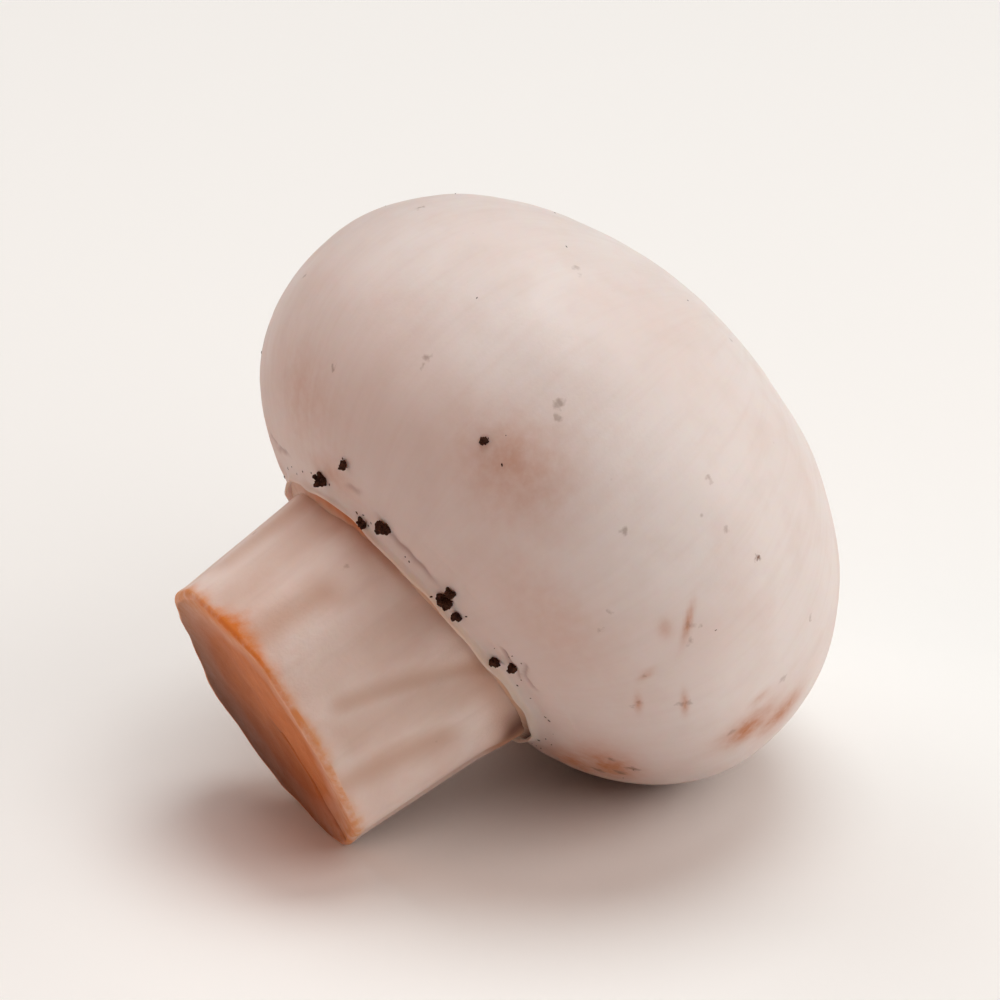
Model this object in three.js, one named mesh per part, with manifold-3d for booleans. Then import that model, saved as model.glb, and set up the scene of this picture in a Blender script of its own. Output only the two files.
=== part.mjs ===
// A closed-cup button mushroom, picked and trimmed, lying on its cap flank and on the lower edge of
// its cut stem. Lengths are in millimetres. It is modelled upright, crown up, with the middle of the
// cap at the origin and +X toward the side it will lie on; the last groups lay it down along +X.
import * as THREE from "three";
import { mergeVertices } from "three/addons/utils/BufferGeometryUtils.js";
import Module from "manifold-3d";

const wasm = await Module();
wasm.setup();

const degrees = THREE.MathUtils.degToRad;

// Cap: a superellipse dome over a shallower, squarer underside.
const capRadius = 23.2;
const crownHeight = 16.9;
const undersideDepth = 14.4;
const crownSquareness = 2.08; // 2 is an ellipse, more is boxier
const undersideSquareness = 2.3;
const crownLean = 1.5; // how far the crown sits toward the lying side
const undersideSlant = 1.0; // how much shallower the underside is on the lying side
const ovality = 0.012;

// Stem: stout, slightly tapered and bent, cut with a knife that was not quite square to it.
const stemTopRadius = 11.35;
const stemCutRadius = 10.6;
const stemMouth = new THREE.Vector3(0.25, 0, -12); // where its axis leaves the cap
const stemSeatDepth = 2.5; // how far its top sits inside the cap, above the mouth
const stemLength = 13.9; // from the mouth to the cut
const stemBend = degrees(6.5); // away from the lying side
const cutSlope = Math.tan(degrees(3)); // the cut is this much shorter toward +Y
const cutEdgeRound = 0.5;

// Veil: the closed membrane between the in-rolled cap margin and the stem. It runs from a low lip
// at the margin down to a thin foot on the stem.
const lipRadius = 12.6;
const lipLevel = -13.5;
const lipWidth = 0.15;
const footRadius = 11.85;
const footLevel = -15.1;
const veilHollow = 0.15; // how far its slope sags between lip and foot
const veilRipple = 0.06;
const veilRippleCount = 9;

// Crumbs of casing soil, most of them caught behind the lip: angle round the cap axis from the lying
// side and polar angle from the crown, in degrees, and width.
const crumbs = [
  { angle: 180.5, polar: 147, width: 1.0 },
  { angle: 192.5, polar: 138, width: 0.7 },
  { angle: 200.5, polar: 149.5, width: 0.8 },
  { angle: 209.5, polar: 145, width: 1.3 },
  { angle: 236, polar: 143.5, width: 0.7 },
  { angle: 237, polar: 147.8, width: 1.2 },
  { angle: 243, polar: 148.5, width: 0.9 },
  { angle: 262.5, polar: 149, width: 0.8 },
  { angle: 264, polar: 145, width: 0.8 },
  { angle: 219, polar: 106, width: 0.6 },
];
const crumbGap = 0.1; // kept between a crumb and the skin

// Lying pose: how steeply the axis rises toward the crown, and how deep the flesh is pressed flat.
const axisRise = degrees(31);
const pressedDepth = 0.45;

const gap = 0.3; // kept between neighbouring pieces

const capMaterial = new THREE.MeshStandardMaterial({ color: "#dccbc3", roughness: 0.55, metalness: 0 });
const stemMaterial = new THREE.MeshStandardMaterial({ color: "#d2b8ab", roughness: 0.7, metalness: 0 });
const veilMaterial = new THREE.MeshStandardMaterial({ color: "#c79f86", roughness: 0.6, metalness: 0 });
const soilMaterial = new THREE.MeshStandardMaterial({ color: "#3a1d12", roughness: 0.95, metalness: 0 });

function solidOf(geometry) {
  geometry.deleteAttribute("normal");
  geometry.deleteAttribute("uv");
  const merged = mergeVertices(geometry, 1e-4);
  const vertProperties = new Float32Array(merged.attributes.position.array);
  const triVerts = new Uint32Array(merged.index.array);
  return new wasm.Manifold(new wasm.Mesh({ numProp: 3, vertProperties, triVerts }));
}

function geometryOf(solid) {
  const mesh = solid.getMesh();
  const geometry = new THREE.BufferGeometry();
  geometry.setAttribute("position", new THREE.BufferAttribute(mesh.vertProperties, 3));
  geometry.setIndex(new THREE.BufferAttribute(mesh.triVerts, 1));
  geometry.computeVertexNormals();
  return geometry;
}

function reshape(geometry, moveVertex) {
  const position = geometry.attributes.position;
  const point = new THREE.Vector3();
  for (let i = 0; i < position.count; i += 1) {
    moveVertex(point.fromBufferAttribute(position, i));
    position.setXYZ(i, point.x, point.y, point.z);
  }
  return geometry;
}

// Carries a unit direction to the cap's surface, grown outward by the clearance.
function moveToCap(point, clearance) {
  const onCrown = point.z > 0;
  const power = 2 / (onCrown ? crownSquareness : undersideSquareness);
  const outward = Math.hypot(point.x, point.y);
  const angle = Math.atan2(point.y, point.x);
  const radius = (capRadius + clearance) * outward ** power;
  const rise = Math.abs(point.z) ** power;
  const slant = undersideSlant * outward * Math.cos(angle);
  const height = onCrown ? crownHeight + clearance : slant - undersideDepth - clearance;
  const lean = onCrown ? crownLean * rise * rise : 0;
  point.x = radius * Math.cos(angle) * (1 + ovality) + lean;
  point.y = radius * Math.sin(angle) * (1 - ovality);
  point.z = height * rise;
  return point;
}

function capSolid(clearance = 0) {
  const sphere = new THREE.SphereGeometry(1, 64, 40).rotateX(Math.PI / 2);
  return solidOf(reshape(sphere, (point) => moveToCap(point, clearance)));
}

function stemSolid(clearance = 0) {
  const topRadius = stemTopRadius + clearance;
  const cutRadius = stemCutRadius + clearance;
  const top = stemSeatDepth + clearance;
  const cut = -stemLength - clearance;
  const profile = [
    [0, cut],
    [cutRadius / 2, cut],
    [cutRadius - cutEdgeRound, cut],
    [cutRadius, cut + cutEdgeRound],
    [(topRadius + cutRadius) / 2, cut / 2],
    [topRadius, 0],
    [topRadius, top],
    [topRadius / 2, top],
    [0, top],
  ].map(([radius, level]) => new THREE.Vector2(radius, level));
  const turned = new THREE.LatheGeometry(profile, 64).rotateX(Math.PI / 2);
  reshape(turned, (point) => {
    const towardCut = Math.max(0, -point.z / stemLength);
    point.z += towardCut * cutSlope * point.y;
  });
  turned.rotateY(stemBend).translate(stemMouth.x, stemMouth.y, stemMouth.z);
  return solidOf(turned);
}

function veilSolid() {
  const insideStem = stemTopRadius - 1;
  const insideCap = lipLevel + 1.2;
  const section = [
    [footRadius, footLevel],
    [(footRadius + lipRadius) / 2 - veilHollow, (footLevel + lipLevel) / 2],
    [lipRadius - lipWidth, lipLevel],
    [lipRadius, lipLevel + lipWidth / 2],
    [lipRadius, insideCap],
    [insideStem, insideCap],
    [insideStem, footLevel],
    [footRadius, footLevel],
  ].map(([radius, level]) => new THREE.Vector2(radius, level));
  const ring = new THREE.LatheGeometry(section, 96).rotateX(Math.PI / 2);
  reshape(ring, (point) => {
    const angle = Math.atan2(point.y, point.x);
    const ripple = veilRipple * Math.cos(veilRippleCount * angle);
    point.x += ripple * Math.cos(angle);
    point.y += ripple * Math.sin(angle);
    point.z += undersideSlant * Math.cos(angle) / 2;
  });
  return solidOf(ring).subtract(capSolid(gap)).subtract(stemSolid(gap));
}

// The point of the cap's skin at the two angles, with its outward normal.
function placeOnCap(angle, polar) {
  const skinPoint = (around, down) => moveToCap(new THREE.Vector3(
    Math.sin(degrees(down)) * Math.cos(degrees(around)),
    Math.sin(degrees(down)) * Math.sin(degrees(around)),
    Math.cos(degrees(down)),
  ), 0);
  const point = skinPoint(angle, polar);
  const alongPolar = skinPoint(angle, polar + 1).sub(point);
  const alongAngle = skinPoint(angle + 1, polar).sub(point);
  return { point, normal: alongPolar.cross(alongAngle).normalize() };
}

function addPiece(parent, name, geometry, material) {
  const piece = new THREE.Mesh(geometry, material);
  piece.name = name;
  parent.add(piece);
  return piece;
}

// A small uneven lump, each one turned its own way.
function addCrumb(parent, { angle, polar, width }, index) {
  const lump = mergeVertices(new THREE.IcosahedronGeometry(width / 2, 1).deleteAttribute("uv"));
  reshape(lump, (point) => {
    const unevenness = Math.sin(9 * point.x / width + index) * Math.cos(7 * point.y / width);
    point.multiplyScalar(1 - 0.14 * Math.abs(unevenness));
  });
  const { point, normal } = placeOnCap(angle, polar);
  const crumb = addPiece(parent, `soil_crumb_${String(index + 1).padStart(2, "0")}`, lump, soilMaterial);
  crumb.position.copy(point).addScaledVector(normal, crumbGap + width / 2);
  crumb.rotation.set(index, 2 * index, 0);
}

const mushroom = new THREE.Group();
const lying = new THREE.Group();
lying.rotation.y = Math.PI / 2 - axisRise;
lying.add(mushroom);

// The table's face, carried into the upright frame, presses a small flat on the cap and on the stem.
const untouchedCap = new THREE.Mesh(geometryOf(capSolid()));
mushroom.add(untouchedCap);
const tableLevel = new THREE.Box3().setFromObject(lying, true).min.z + pressedDepth;
mushroom.remove(untouchedCap);
const tableSize = 200;
const tableBox = new THREE.BoxGeometry(tableSize, tableSize, tableSize);
tableBox.translate(0, 0, tableLevel - tableSize / 2).applyMatrix4(lying.matrixWorld.clone().invert());
const table = solidOf(tableBox);

const cap = capSolid().subtract(stemSolid(gap)).subtract(table);
const stem = stemSolid().subtract(table);
const veil = veilSolid().subtract(table);
addPiece(mushroom, "cap", geometryOf(cap), capMaterial);
addPiece(mushroom, "stem", geometryOf(stem), stemMaterial);
addPiece(mushroom, "veil", geometryOf(veil), veilMaterial);
crumbs.forEach((crumb, index) => addCrumb(mushroom, crumb, index));

// The origin is the middle of the footprint, on the table.
const whole = new THREE.Group();
whole.add(lying);
const bounds = new THREE.Box3().setFromObject(whole, true);
const middle = bounds.getCenter(new THREE.Vector3());
lying.position.set(-middle.x, -middle.y, -bounds.min.z);

export default whole;
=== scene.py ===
"""A closed-cup button mushroom with a trimmed stem, lying on a pale floor in soft studio light."""

import math

import bmesh
import bpy
import numpy as np
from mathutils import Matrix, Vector
from mathutils.bvhtree import BVHTree


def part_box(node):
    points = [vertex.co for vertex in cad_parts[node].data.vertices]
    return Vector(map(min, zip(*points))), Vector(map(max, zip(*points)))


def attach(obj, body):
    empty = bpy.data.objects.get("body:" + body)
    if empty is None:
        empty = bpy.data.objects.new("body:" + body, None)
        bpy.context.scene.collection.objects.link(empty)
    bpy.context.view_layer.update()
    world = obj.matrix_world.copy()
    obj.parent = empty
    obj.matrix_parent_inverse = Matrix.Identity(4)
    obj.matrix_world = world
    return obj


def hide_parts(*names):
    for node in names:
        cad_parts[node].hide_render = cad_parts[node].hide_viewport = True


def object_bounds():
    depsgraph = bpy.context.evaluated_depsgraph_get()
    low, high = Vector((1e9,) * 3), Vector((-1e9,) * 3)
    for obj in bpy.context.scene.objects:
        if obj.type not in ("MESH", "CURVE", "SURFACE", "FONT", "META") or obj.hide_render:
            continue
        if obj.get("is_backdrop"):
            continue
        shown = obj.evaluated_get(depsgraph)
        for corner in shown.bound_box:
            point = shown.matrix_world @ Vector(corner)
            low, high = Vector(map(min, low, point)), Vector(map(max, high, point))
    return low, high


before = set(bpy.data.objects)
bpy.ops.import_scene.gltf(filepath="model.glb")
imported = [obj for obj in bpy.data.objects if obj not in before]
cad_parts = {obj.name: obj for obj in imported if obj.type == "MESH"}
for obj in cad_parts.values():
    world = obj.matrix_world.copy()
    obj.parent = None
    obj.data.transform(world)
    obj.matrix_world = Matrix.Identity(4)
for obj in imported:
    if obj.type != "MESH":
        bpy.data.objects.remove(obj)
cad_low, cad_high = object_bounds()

MM = 0.001

# ----------------------------------------------------------------------------------------------
# Camera. It looks down a little on the lying mushroom from the side of its cut stem, through a
# long lens, with the whole mushroom in the middle of the frame.
# ----------------------------------------------------------------------------------------------
view_azimuth = math.radians(-31)
view_elevation = math.radians(25)
view_distance = 0.65
view_width = 0.070  # how much of the scene fits across the frame at the mushroom
sensor_width_mm = 36

toward_camera = Vector((
    math.sin(view_azimuth) * math.cos(view_elevation),
    -math.cos(view_azimuth) * math.cos(view_elevation),
    math.sin(view_elevation),
))
view_right = Vector((math.cos(view_azimuth), math.sin(view_azimuth), 0))
view_up = toward_camera.cross(view_right)
middle = (cad_low + cad_high) / 2

camera_data = bpy.data.cameras.new("camera")
camera_data.sensor_width = sensor_width_mm
camera_data.lens = sensor_width_mm * view_distance / view_width
camera = bpy.data.objects.new("camera", camera_data)
camera.location = middle + toward_camera * view_distance
camera.rotation_euler = toward_camera.to_track_quat("Z", "Y").to_euler()
bpy.context.scene.collection.objects.link(camera)
bpy.context.scene.camera = camera

# ----------------------------------------------------------------------------------------------
# Studio. A pale matte floor under four big soft lights: two above, one from the right, and one from
# over the camera's right shoulder. A weak warm fill from the left keeps the shadows from going grey.
# ----------------------------------------------------------------------------------------------
floor_half_width = 3.0
room_strength = 0.07
lights = [
    # name, direction as right, up and toward the camera, distance, width, watts, colour
    ("top_light", (0.15, 1.0, 0.25), 0.60, 0.42, 1.94, "#F7FFFF"),
    ("top_left_light", (-0.5, 1.0, 0.0), 0.60, 0.45, 0.95, "#FBFAF8"),
    ("right_light", (1.0, 0.3, 0.05), 0.60, 0.40, 1.06, "#FFF5EE"),
    ("shoulder_light", (0.6, 0.5, 1.0), 0.60, 0.50, 1.05, "#FFFAF6"),
    ("warm_fill", (-1.0, 0.2, 0.5), 0.60, 0.50, 0.56, "#FFB694"),
]


def srgb(hex_colour):
    """A hex colour as it is seen, turned to the linear colour that shaders take."""
    channels = [int(hex_colour[i:i + 2], 16) / 255 for i in (1, 3, 5)]
    return [c / 12.92 if c <= 0.04045 else ((c + 0.055) / 1.055) ** 2.4 for c in channels] + [1.0]


def add_node(tree, kind, links=None, out=None, **settings):
    """Adds a node, sets it, gives its inputs values or links, and returns it or one of its outputs."""
    node = tree.nodes.new(kind)
    for name, value in settings.items():
        setattr(node, name, value)
    for key, value in (links or {}).items():
        if isinstance(value, bpy.types.NodeSocket):
            tree.links.new(value, node.inputs[key])
        else:
            node.inputs[key].default_value = value
    return node if out is None else node.outputs[out]


def new_material(name):
    """An empty node material, and the tree to build it in."""
    material = bpy.data.materials.new(name)
    material.use_nodes = True
    material.node_tree.nodes.clear()
    return material, material.node_tree


bpy.context.scene.view_settings.view_transform = "Standard"
world = bpy.data.worlds.new("pale_room")
world.use_nodes = True
background = world.node_tree.nodes["Background"]
background.inputs["Color"].default_value = srgb("#FFD9C8")
background.inputs["Strength"].default_value = room_strength
bpy.context.scene.world = world

for name, (right, up, near), distance, width, watts, colour in lights:
    direction = (view_right * right + view_up * up + toward_camera * near).normalized()
    light_data = bpy.data.lights.new(name, "AREA")
    light_data.shape = "DISK"
    light_data.size = width
    light_data.energy = watts
    light_data.color = srgb(colour)[:3]
    light = bpy.data.objects.new(name, light_data)
    light.location = middle + direction * distance
    light.rotation_euler = direction.to_track_quat("Z", "Y").to_euler()
    bpy.context.scene.collection.objects.link(light)

# Painted board: dead matte and almost white, so it only takes the soft shadow.
board, tree = new_material("matte_painted_board")
shader = add_node(tree, "ShaderNodeBsdfPrincipled", {
    "Base Color": srgb("#FBF9F7"), "Roughness": 0.9, "Specular IOR Level": 0.1,
}, out="BSDF")
add_node(tree, "ShaderNodeOutputMaterial", {"Surface": shader})
floor_mesh = bpy.data.meshes.new("floor")
corners = [(-1, -1), (1, -1), (1, 1), (-1, 1)]
floor_points = [(x * floor_half_width, y * floor_half_width, 0) for x, y in corners]
floor_mesh.from_pydata(floor_points, [], [(0, 1, 2, 3)])
floor_mesh.materials.append(board)
floor = bpy.data.objects.new("floor", floor_mesh)
bpy.context.scene.collection.objects.link(floor)
floor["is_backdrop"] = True

# ----------------------------------------------------------------------------------------------
# Cap. One closed dome of white flesh under a thin silky skin. It grew round the top of the stem,
# so its margin rolls in to a thin lip, and inside the lip is the seat that holds the stem. The
# veil and the soil are stuck to it.
# ----------------------------------------------------------------------------------------------

# Shapes are worked out upright, in millimetres, crown up and +X toward the side it lies on.
cap_radius = 23.2
crown_height = 16.9
underside_depth = 14.4
crown_squareness = 2.08
underside_squareness = 2.3
crown_lean = 1.5
underside_slant = 1.0
ovality = 0.012
axis_rise = math.radians(31)

groove_radius = 13.3
groove_depth = 0.15
groove_width = 0.75
lip_radius = 12.25
lip_height = 0.35  # the lip is a low ridge round the opening
lip_width = 0.16
seat_off_centre = 0.25
# The seat that holds the stem, from its mouth to its floor: radius and height.
seat_profile = [(11.93, -12.6), (11.88, -12.0), (11.85, -11.3), (11.8, -10.4), (11.7, -9.5), (8.0, -9.5),
                (4.0, -9.5), (1.0, -9.5)]
cap_columns = 336
cap_rows = 150
margin_rows = 44
fibrils_round_cap = 26  # noise waves to a radian
fibril_length = 9
flesh_glow = (1.0, 0.45, 0.28)  # how much further red light goes in flesh than green and blue
speck_wobble = 0.45  # how ragged a speck is, in millimetres
skin_polar = math.radians(139)  # the polar angle where the skin gives way to the margin's own rows
margin_end_polar = math.radians(153)  # the polar angle that the last of the margin's rows counts as
seat_polar = math.radians(160)  # and the one that the seat's rows count as, out of reach of any mark
mm_per_polar = 19  # millimetres along the skin for each radian from the crown
# how strongly the painted shade darkens the skin toward the margin
margin_tint = 0.50
groove_dust = 0.45  # dust in the groove, as a share of what lies round the crumbs
groove_dust_reach = 0.55
crumb_dust_reach = 1.1
lip_wander = [(2, 0.10, 1.0), (5, 0.07, 0.4), (9, 0.05, 2.2), (17, 0.03, 1.1), (31, 0.015, 0)]

# Soft brown marks: bruises in the flesh, a broad darker patch and one mark of painted warm light:
# angle round the cap from the lying side, polar angle from the crown, how far each reaches along
# both in millimetres, its turn in degrees, and its strength.
bruises_and_bounce_light = [
    # a broad darker brown patch
    (226, 106, 4.4, 4.2, 0, 0.52),
    (252, 124, 6.0, 3.6, 0, 0.26),
    (267.5, 97, 1.5, 0.28, 48, 0.80),
    (265.5, 102, 0.8, 0.60, 30, 0.40),
    (280, 119, 1.0, 0.30, 22, 0.70),
    (284, 108, 1.2, 0.30, 20, 0.70),
    (273, 113, 0.9, 0.30, 75, 0.55),
    (303, 96, 1.8, 2.6, 0, 0.90),
    (308, 87, 1.6, 2.4, 0, 0.85),
    (296, 91, 0.5, 1.0, 0, 0.45),
    (313, 134, 4.2, 2.6, 0, 0.95),
    (324, 141, 4.0, 2.4, 0, 0.90),
    (340, 126, 5.0, 3.0, 0, 0.50),
    # painted warm light, as if bounced onto this edge from beside the mushroom
    (172, 128, 5.0, 4.2, 0, 0.34),
    (186, 144, 3.0, 1.6, 0, 0.40),
    (95, 80, 2.2, 1.2, 0, 0.50),
    (118, 138, 5.0, 3.0, 0, 0.45),
    (60, 112, 3.0, 2.0, 0, 0.45),
    (20, 60, 2.0, 1.4, 0, 0.40),
    (140, 62, 0.9, 2.2, 0, 0.40),
    (350, 118, 4.5, 3.5, 0, 0.50),
]

# Bitten-in specks and scuffs of the skin: angle, polar angle, reach in millimetres, and strength.
specks = [
    (200.5, 101, 0.30, 0.45), (201, 103.5, 0.22, 0.35), (202, 60, 0.30, 0.35),
    (204, 61, 0.22, 0.25), (223.5, 89, 0.42, 0.50), (225, 91, 0.30, 0.40), (246.5, 96, 0.30, 0.45),
    (259, 78, 0.26, 0.35), (250, 73.5, 0.28, 0.35), (268, 75, 0.26, 1.0), (268, 96.5, 0.30, 0.35),
    (269.5, 94.8, 0.22, 0.30), (270.5, 98.2, 0.26, 0.35), (271, 99.8, 0.22, 0.30),
    (280, 118.5, 0.26, 0.35), (280.5, 120.5, 0.22, 0.30), (284.5, 107, 0.24, 0.35),
    (284, 109.2, 0.26, 0.35), (273, 113.5, 0.22, 0.30), (259.5, 116, 0.22, 0.35),
    (257, 111, 0.20, 0.30), (300, 100, 0.36, 0.35), (297, 84, 0.30, 0.30), (292, 70, 0.22, 0.40),
    (310, 128, 0.50, 0.80), (316, 131, 0.45, 0.80), (321, 136, 0.50, 0.80), (306, 133, 0.35, 0.70),
    (330, 120, 0.40, 0.60), (35, 75, 0.30, 0.60), (52, 96, 0.26, 0.50), (70, 58, 0.30, 0.60),
    (84, 104, 0.34, 0.60), (100, 88, 0.24, 0.50), (112, 70, 0.30, 0.70), (128, 110, 0.26, 0.50),
    (141, 84, 0.34, 0.60), (155, 101, 0.24, 0.50), (166, 74, 0.26, 0.50), (182, 118, 0.26, 0.50),
    (12, 40, 0.26, 0.50), (150, 36, 0.24, 0.45), (232, 30, 0.24, 0.40), (342, 78, 0.34, 0.60),
]

# Creases where the skin is drawn in toward the margin: angle, polar angle, half length round the
# cap and half width in millimetres, how far it turns toward the margin per length, and its depth.
creases = [
    (260, 144.5, 0.8, 0.22, 0.15, 0.17),
    (266, 142.5, 0.7, 0.20, 0.70, 0.14),
    (271, 144.0, 0.9, 0.20, -0.25, 0.13),
    (268, 146.0, 0.6, 0.18, 0.30, 0.12),
    (221, 146.5, 2.6, 0.42, 0.02, 0.16),
    (196, 143.0, 0.9, 0.24, -0.4, 0.10),
    (150, 145.0, 1.6, 0.28, 0.15, 0.13),
    (143, 142.0, 0.9, 0.24, 0.50, 0.11),
    (96, 146.0, 1.3, 0.26, -0.2, 0.14),
    (101, 143.0, 0.8, 0.22, 0.40, 0.12),
    (60, 144.0, 1.2, 0.24, 0.30, 0.13),
    (18, 145.5, 1.5, 0.28, 0.10, 0.13),
    (335, 143.5, 1.2, 0.24, -0.2, 0.14),
]


def waves(angle, terms):
    """An uneven ring: a sum of whole waves round it, each a count, a height and a phase."""
    return sum(height * np.cos(count * angle + phase) for count, height, phase in terms)


def bell(off, width):
    """1 in the middle, falling away to next to nothing two widths off."""
    return np.exp(-(off / width) ** 2)


def bell_round(angle, centre, width):
    """A bell round the axis, with its middle and its width in degrees."""
    off = (angle - math.radians(centre) + math.pi) % (2 * math.pi) - math.pi
    return bell(off, math.radians(width))


def ring_points(angle, radius, level, off_centre=0.0, oval=0.0):
    """Points round the upright axis at these radii and levels."""
    x = radius * np.cos(angle) * (1 + oval) + off_centre
    y = radius * np.sin(angle) * (1 - oval)
    return np.stack(np.broadcast_arrays(x, y, level), axis=-1)


def cap_skin(angle, polar):
    """The cap's outer skin, upright, for arrays of angles round it and from its crown."""
    outward, rise = np.sin(polar), np.cos(polar)
    power = np.where(rise > 0, 2 / crown_squareness, 2 / underside_squareness)
    lobes = waves(angle, [(3, 0.008, 0.6), (4, 0.005, 2.0), (7, 0.002, 4.0)]) * outward ** 2
    radius = cap_radius * outward ** power * (1 + lobes)
    lift = np.abs(rise) ** power
    height = np.where(rise > 0, crown_height, underside_slant * outward * np.cos(angle) - underside_depth)
    lean = np.where(rise > 0, crown_lean * lift ** 2, 0)
    x = radius * np.cos(angle) * (1 + ovality) + lean
    y = radius * np.sin(angle) * (1 - ovality)
    return np.stack([x, y, height * lift], axis=-1)


def underside(angle, radius):
    """How high the plain underside lies at a distance from the cap's axis."""
    share = radius / cap_radius
    slant = underside_slant * share ** (underside_squareness / 2) * np.cos(angle)
    return (slant - underside_depth) * (1 - share ** underside_squareness) ** (1 / underside_squareness)


def turn_to_lying(points):
    """Turns upright points over onto the side they lie on, and millimetres to metres."""
    tip = math.pi / 2 - axis_rise
    x, y, z = points[..., 0], points[..., 1], points[..., 2]
    lying = [x * math.cos(tip) + z * math.sin(tip), y, z * math.cos(tip) - x * math.sin(tip)]
    return np.stack(lying, axis=-1) * MM


# The frame says where the cap lies: its highest point, its crown end and its middle across.
plain_angle, plain_polar = np.meshgrid(np.linspace(0, 2 * math.pi, 241), np.linspace(0.01, 2.4, 200))
plain_cap = turn_to_lying(cap_skin(plain_angle, plain_polar)).reshape(-1, 3)
box_low, box_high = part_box("cap")
cap_shift = np.array([
    box_high.x - plain_cap[:, 0].max(),
    (box_low.y + box_high.y) / 2 - (plain_cap[:, 1].min() + plain_cap[:, 1].max()) / 2,
    box_high.z - plain_cap[:, 2].max(),
])


def lay_down(points):
    """Carries upright points to where they lie in the frame."""
    return turn_to_lying(points) + cap_shift


def closed_mesh(name, rows, first_pole=None, last_pole=None, attributes=None):
    """A smooth closed mesh from rows of points round an axis, shut by a pole at each end, or with
    its last row joined to its first when it has no poles. Attributes are one value per row point."""
    row_count, column_count = rows.shape[:2]
    points = rows.reshape(-1, 3)
    faces = []
    for row in range(row_count if first_pole is None else row_count - 1):
        for column in range(column_count):
            beside, below = (column + 1) % column_count, (row + 1) % row_count
            faces.append((row * column_count + column, below * column_count + column,
                          below * column_count + beside, row * column_count + beside))
    if first_pole is not None:
        start, end = len(points), len(points) + 1
        points = np.vstack([points, first_pole, last_pole])
        last_row = (row_count - 1) * column_count
        for column in range(column_count):
            beside = (column + 1) % column_count
            faces.append((start, column, beside))
            faces.append((end, last_row + beside, last_row + column))
    mesh = bpy.data.meshes.new(name)
    mesh.from_pydata(points.tolist(), [], faces)
    for key, values in (attributes or {}).items():
        layer = mesh.attributes.new(key, "FLOAT", "POINT")
        flat = np.zeros(len(points), dtype=np.float32)
        flat[:values.size] = values.reshape(-1)
        if first_pole is not None:
            flat[-2:] = values[0].mean(), values[-1].mean()
        layer.data.foreach_set("value", flat)
    edit = bmesh.new()
    edit.from_mesh(mesh)
    bmesh.ops.recalc_face_normals(edit, faces=edit.faces)
    edit.to_mesh(mesh)
    edit.free()
    mesh.shade_smooth()
    piece = bpy.data.objects.new(name, mesh)
    bpy.context.scene.collection.objects.link(piece)
    return piece


def new_shape_tree(name, inputs):
    """An empty Geometry Nodes tree with named inputs. Returns it with its input node."""
    shape_tree = bpy.data.node_groups.new(name, "GeometryNodeTree")
    shape_tree.interface.new_socket("Geometry", in_out="OUTPUT", socket_type="NodeSocketGeometry")
    shape_tree.interface.new_socket("Geometry", in_out="INPUT", socket_type="NodeSocketGeometry")
    for socket_name, kind in inputs.items():
        shape_tree.interface.new_socket(socket_name, in_out="INPUT", socket_type="NodeSocket" + kind)
    return shape_tree, shape_tree.nodes.new("NodeGroupInput")


def run_shape_tree(piece, shape_tree, values):
    """Runs a tree on a piece with these inputs and leaves the result as its plain mesh."""
    modifier = piece.modifiers.new(shape_tree.name, "NODES")
    modifier.node_group = shape_tree
    for item in shape_tree.interface.items_tree:
        if item.in_out == "INPUT" and item.name in values:
            modifier[item.identifier] = values[item.name]
    depsgraph = bpy.context.evaluated_depsgraph_get()
    shaped = bpy.data.meshes.new_from_object(piece.evaluated_get(depsgraph), depsgraph=depsgraph)
    piece.modifiers.remove(modifier)
    shaped.name = piece.data.name
    piece.data = shaped


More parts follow.
